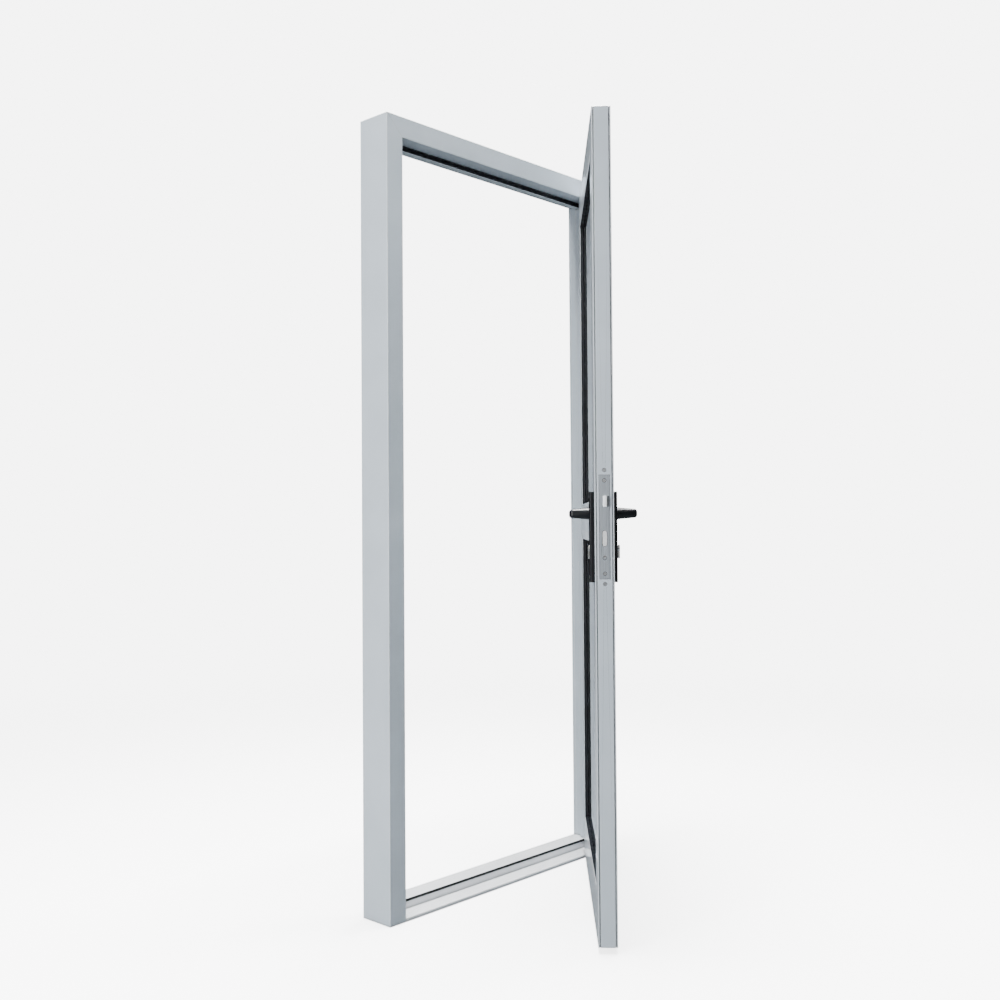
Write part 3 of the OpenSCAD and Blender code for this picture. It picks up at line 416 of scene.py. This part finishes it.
def flat_ring(bm, centre_z, outline, width):
    """A thin dark strip, a painted shadow, that follows a closed outline of (y, z) points on the
    leaf's lock edge.
    """
    loops = []
    out, into = EDGE_X - SHADOW_OUT, EDGE_X + SHADOW_IN
    for grow, x in ((0.0, out), (width, out), (width, into), (0.0, into)):
        ring = []
        for i, (y, z) in enumerate(outline):
            here = Vector((y, z))
            a = (here - Vector(outline[i - 1])).normalized()
            b = (Vector(outline[(i + 1) % len(outline)]) - here).normalized()
            normal = Vector((a.y + b.y, -a.x - b.x)).normalized()
            half_angle = math.sqrt(max(0.0, (1 + a.dot(b)) / 2))
            reach = grow / max(SHARPEST_MITRE, half_angle)
            place = (x, LOCK_Y + y + normal.x * reach, centre_z + z + normal.y * reach)
            ring.append(bm.verts.new(place))
        loops.append(ring)
    close_loops(bm, loops)


def rounded(half_y, half_z, radius, steps=8):
    """Outline of a rectangle with round corners, anticlockwise."""
    y, z = half_y - radius, half_z - radius
    pts = []
    for cy, cz, start in ((y, z, 0), (-y, z, 90), (-y, -z, 180), (y, -z, 270)):
        for i in range(steps + 1):
            a = math.radians(start + 90.0 * i / steps)
            pts.append((cy + radius * math.cos(a), cz + radius * math.sin(a)))
    return pts


PLATE_HALF_WIDTH = 0.0125
SCREW_HEAD_R = 0.0040
BOLT_HALF_WIDTH, BOLT_HALF_HEIGHT = 0.0056, 0.0191


def shadow_gaps():
    """Painted shadow: a thin black strip in the gaps round the faceplate, its screws and the bolt
    opening.
    """
    low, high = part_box("lock_faceplate")
    plate = rounded(PLATE_HALF_WIDTH, (high.z - low.z) / 2, 0.0002, 2)
    screw = rounded(SCREW_HEAD_R, SCREW_HEAD_R, SCREW_HEAD_R)
    screws_z = (high.z - 0.013, low.z + 0.012, low.z + 0.050, high.z + 0.012, low.z - 0.0125)
    bolt_low, bolt_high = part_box("dead_bolt")
    bolt = rounded(BOLT_HALF_WIDTH, BOLT_HALF_HEIGHT, BOLT_HALF_WIDTH)
    bm = bmesh.new()
    flat_ring(bm, (low.z + high.z) / 2, plate, 0.0008)
    for z in screws_z:
        flat_ring(bm, z, screw, 0.0009)
    flat_ring(bm, (bolt_low.z + bolt_high.z) / 2, bolt, 0.0007)
    # the strip takes the black plastic finish as painted shadow
    mesh_piece("faceplate_painted_shadow", bm, "leaf", "moulded_plastic")


shadow_gaps()
# black gaskets, drawn tall so that they also stand in for the beads' shade
gasket_and_bead_shade("upper_gasket_and_bead_shade", "upper_beads")
gasket_and_bead_shade("lower_gasket_and_bead_shade", "lower_beads")


# ---------- stage ----------

# Floor and backdrop are bright to the camera, straight or through glass, and dim to
# everything that only reflects them.
BACKDROP_STRENGTH = 6.5
FLOOR_HALF = 14.0
FLOOR_Z = -0.0005
FLOOR_GLOW = 3.4
FLOOR_FADE = (1.2, 5.0)
FLOOR_PALE = (0.92, 0.92, 0.92, 1.0)
FLOOR_DIM = (0.10, 0.11, 0.12, 1.0)
ROOM_STRENGTH = 0.34
ROOM_DARK_WAY = (0.40, 0.90, -0.17)
ROOM_DARK_RANGE = (-0.05, 0.55)
ROOM_DARK = (0.008, 0.010, 0.013, 1.0)
ROOM_HEIGHTS = (
    (0.45, (0.05, 0.06, 0.075, 1.0)),
    (0.52, (0.50, 0.52, 0.54, 1.0)),
    (0.85, (1.0, 1.0, 1.0, 1.0)),
)
# bounces off anything but glass below which something counts as seen; a backdrop is read
# one bounce further on than a surface
FLOOR_BOUNCES = 0.5
BACKDROP_BOUNCES = 1.5


def seen_directly(nt, other_bounces):
    """1 for what the camera sees, straight or through glass, and 0 for light and reflections."""
    path = add_node(nt, "LightPath")
    others = add_node(nt, "Math", operation="SUBTRACT")
    nt.links.new(path.outputs["Ray Depth"], others.inputs[0])
    nt.links.new(path.outputs["Transmission Depth"], others.inputs[1])
    few = add_node(nt, "Math", {1: other_bounces}, operation="LESS_THAN")
    nt.links.new(others.outputs[0], few.inputs[0])
    seen = add_node(nt, "Math", operation="MULTIPLY_ADD")
    nt.links.new(path.outputs["Is Transmission Ray"], seen.inputs[0])
    nt.links.new(few.outputs[0], seen.inputs[1])
    nt.links.new(path.outputs["Is Camera Ray"], seen.inputs[2])
    return seen.outputs[0]


def mix_shaders(nt, fac, a, b):
    """Shader a where fac is 0, b where it is 1."""
    mix = add_node(nt, "MixShader")
    for index, source in enumerate((fac, a.outputs[0], b.outputs[0])):
        nt.links.new(source, mix.inputs[index])
    return mix


def smooth_range(nt, value, ends):
    n = add_node(nt, "MapRange", {"From Min": ends[0], "From Max": ends[1]},
                 interpolation_type="SMOOTHSTEP")
    nt.links.new(value, n.inputs["Value"])
    return n.outputs[0]


def add_floor():
    mesh = bpy.data.meshes.new("floor")
    r = FLOOR_HALF
    mesh.from_pydata([(-r, -r, 0), (r, -r, 0), (r, r, 0), (-r, r, 0)], [], [(0, 1, 2, 3)])
    floor = bpy.data.objects.new("floor", mesh)
    floor.location.z = FLOOR_Z
    bpy.context.scene.collection.objects.link(floor)
    mat = bpy.data.materials.new("floor")
    mat.use_nodes = True
    nt = mat.node_tree
    nt.nodes.clear()
    out = add_node(nt, "OutputMaterial")
    lit = add_node(nt, "BsdfDiffuse", {"Color": FLOOR_PALE})
    glow = add_node(nt, "Emission", {"Strength": FLOOR_GLOW})
    near = add_node(nt, "AddShader")
    nt.links.new(lit.outputs[0], near.inputs[0])
    nt.links.new(glow.outputs[0], near.inputs[1])
    far = add_node(nt, "Emission", {"Strength": BACKDROP_STRENGTH})
    coord = add_node(nt, "TexCoord")
    dist = add_node(nt, "VectorMath", operation="LENGTH")
    nt.links.new(coord.outputs["Object"], dist.inputs[0])
    pale = mix_shaders(nt, smooth_range(nt, dist.outputs["Value"], FLOOR_FADE), near, far)
    dim = add_node(nt, "BsdfDiffuse", {"Color": FLOOR_DIM})
    shown = mix_shaders(nt, seen_directly(nt, FLOOR_BOUNCES), dim, pale)
    nt.links.new(shown.outputs[0], out.inputs[0])
    mesh.materials.append(mat)


def add_world():
    """A room that is bright overhead and dark behind the door, for light and reflections."""
    world = bpy.data.worlds.new("studio")
    bpy.context.scene.world = world
    world.use_nodes = True
    nt = world.node_tree
    nt.nodes.clear()
    out = add_node(nt, "OutputWorld")
    coord = add_node(nt, "TexCoord")
    sep = add_node(nt, "SeparateXYZ")
    nt.links.new(coord.outputs["Generated"], sep.inputs[0])
    height = add_node(nt, "MapRange", {"From Min": -1.0, "From Max": 1.0})
    nt.links.new(sep.outputs["Z"], height.inputs["Value"])
    ramp = add_node(nt, "ValToRGB")
    stops = ramp.color_ramp.elements
    (low, low_colour), (mid, mid_colour), (high, high_colour) = ROOM_HEIGHTS
    stops[0].position, stops[0].color = low, low_colour
    stops[1].position, stops[1].color = high, high_colour
    stops.new(mid).color = mid_colour
    nt.links.new(height.outputs[0], ramp.inputs[0])
    dark_side = add_node(nt, "VectorMath", {1: ROOM_DARK_WAY}, operation="DOT_PRODUCT")
    nt.links.new(coord.outputs["Generated"], dark_side.inputs[0])
    dim = add_node(nt, "Mix", {MIX_B: ROOM_DARK}, data_type="RGBA")
    nt.links.new(smooth_range(nt, dark_side.outputs["Value"], ROOM_DARK_RANGE),
                 dim.inputs[MIX_FACTOR])
    nt.links.new(ramp.outputs[0], dim.inputs[MIX_A])
    light = add_node(nt, "Background", {"Strength": ROOM_STRENGTH})
    nt.links.new(dim.outputs[MIX_RESULT], light.inputs["Color"])
    white = add_node(nt, "Background",
                     {"Color": (1.0, 1.0, 1.0, 1.0), "Strength": BACKDROP_STRENGTH})
    shown = mix_shaders(nt, seen_directly(nt, BACKDROP_BOUNCES), light, white)
    nt.links.new(shown.outputs[0], out.inputs[0])


# name, where it is, what it faces, its width and height, and its watts
LIGHTS = (
    ("top", (0.0, -0.10, 5.2), (0.0, 0.0, 0.0), (2.2, 1.6), 1500.0),
    ("left", (-4.6, 0.0, 1.5), (-0.4, 0.0, 0.9), (1.0, 3.4), 315.0),
    ("front", (-0.6, -4.6, 4.2), (0.0, 0.0, 2.2), (3.0, 1.2), 12.0),
    ("camera_side", (-3.4, -2.9, 1.8), (-0.2, -0.6, 1.0), (1.6, 2.4), 7.0),
)


def add_area(name, at, target, size, power):
    data = bpy.data.lights.new(name, "AREA")
    data.shape = "RECTANGLE"
    data.size, data.size_y = size
    data.energy = power
    light = bpy.data.objects.new(name, data)
    light.location = at
    facing = Vector(target) - Vector(at)
    light.rotation_euler = facing.to_track_quat("-Z", "Y").to_euler()
    bpy.context.scene.collection.objects.link(light)


add_camera()
add_floor()
add_world()
for row in LIGHTS:
    add_area(*row)
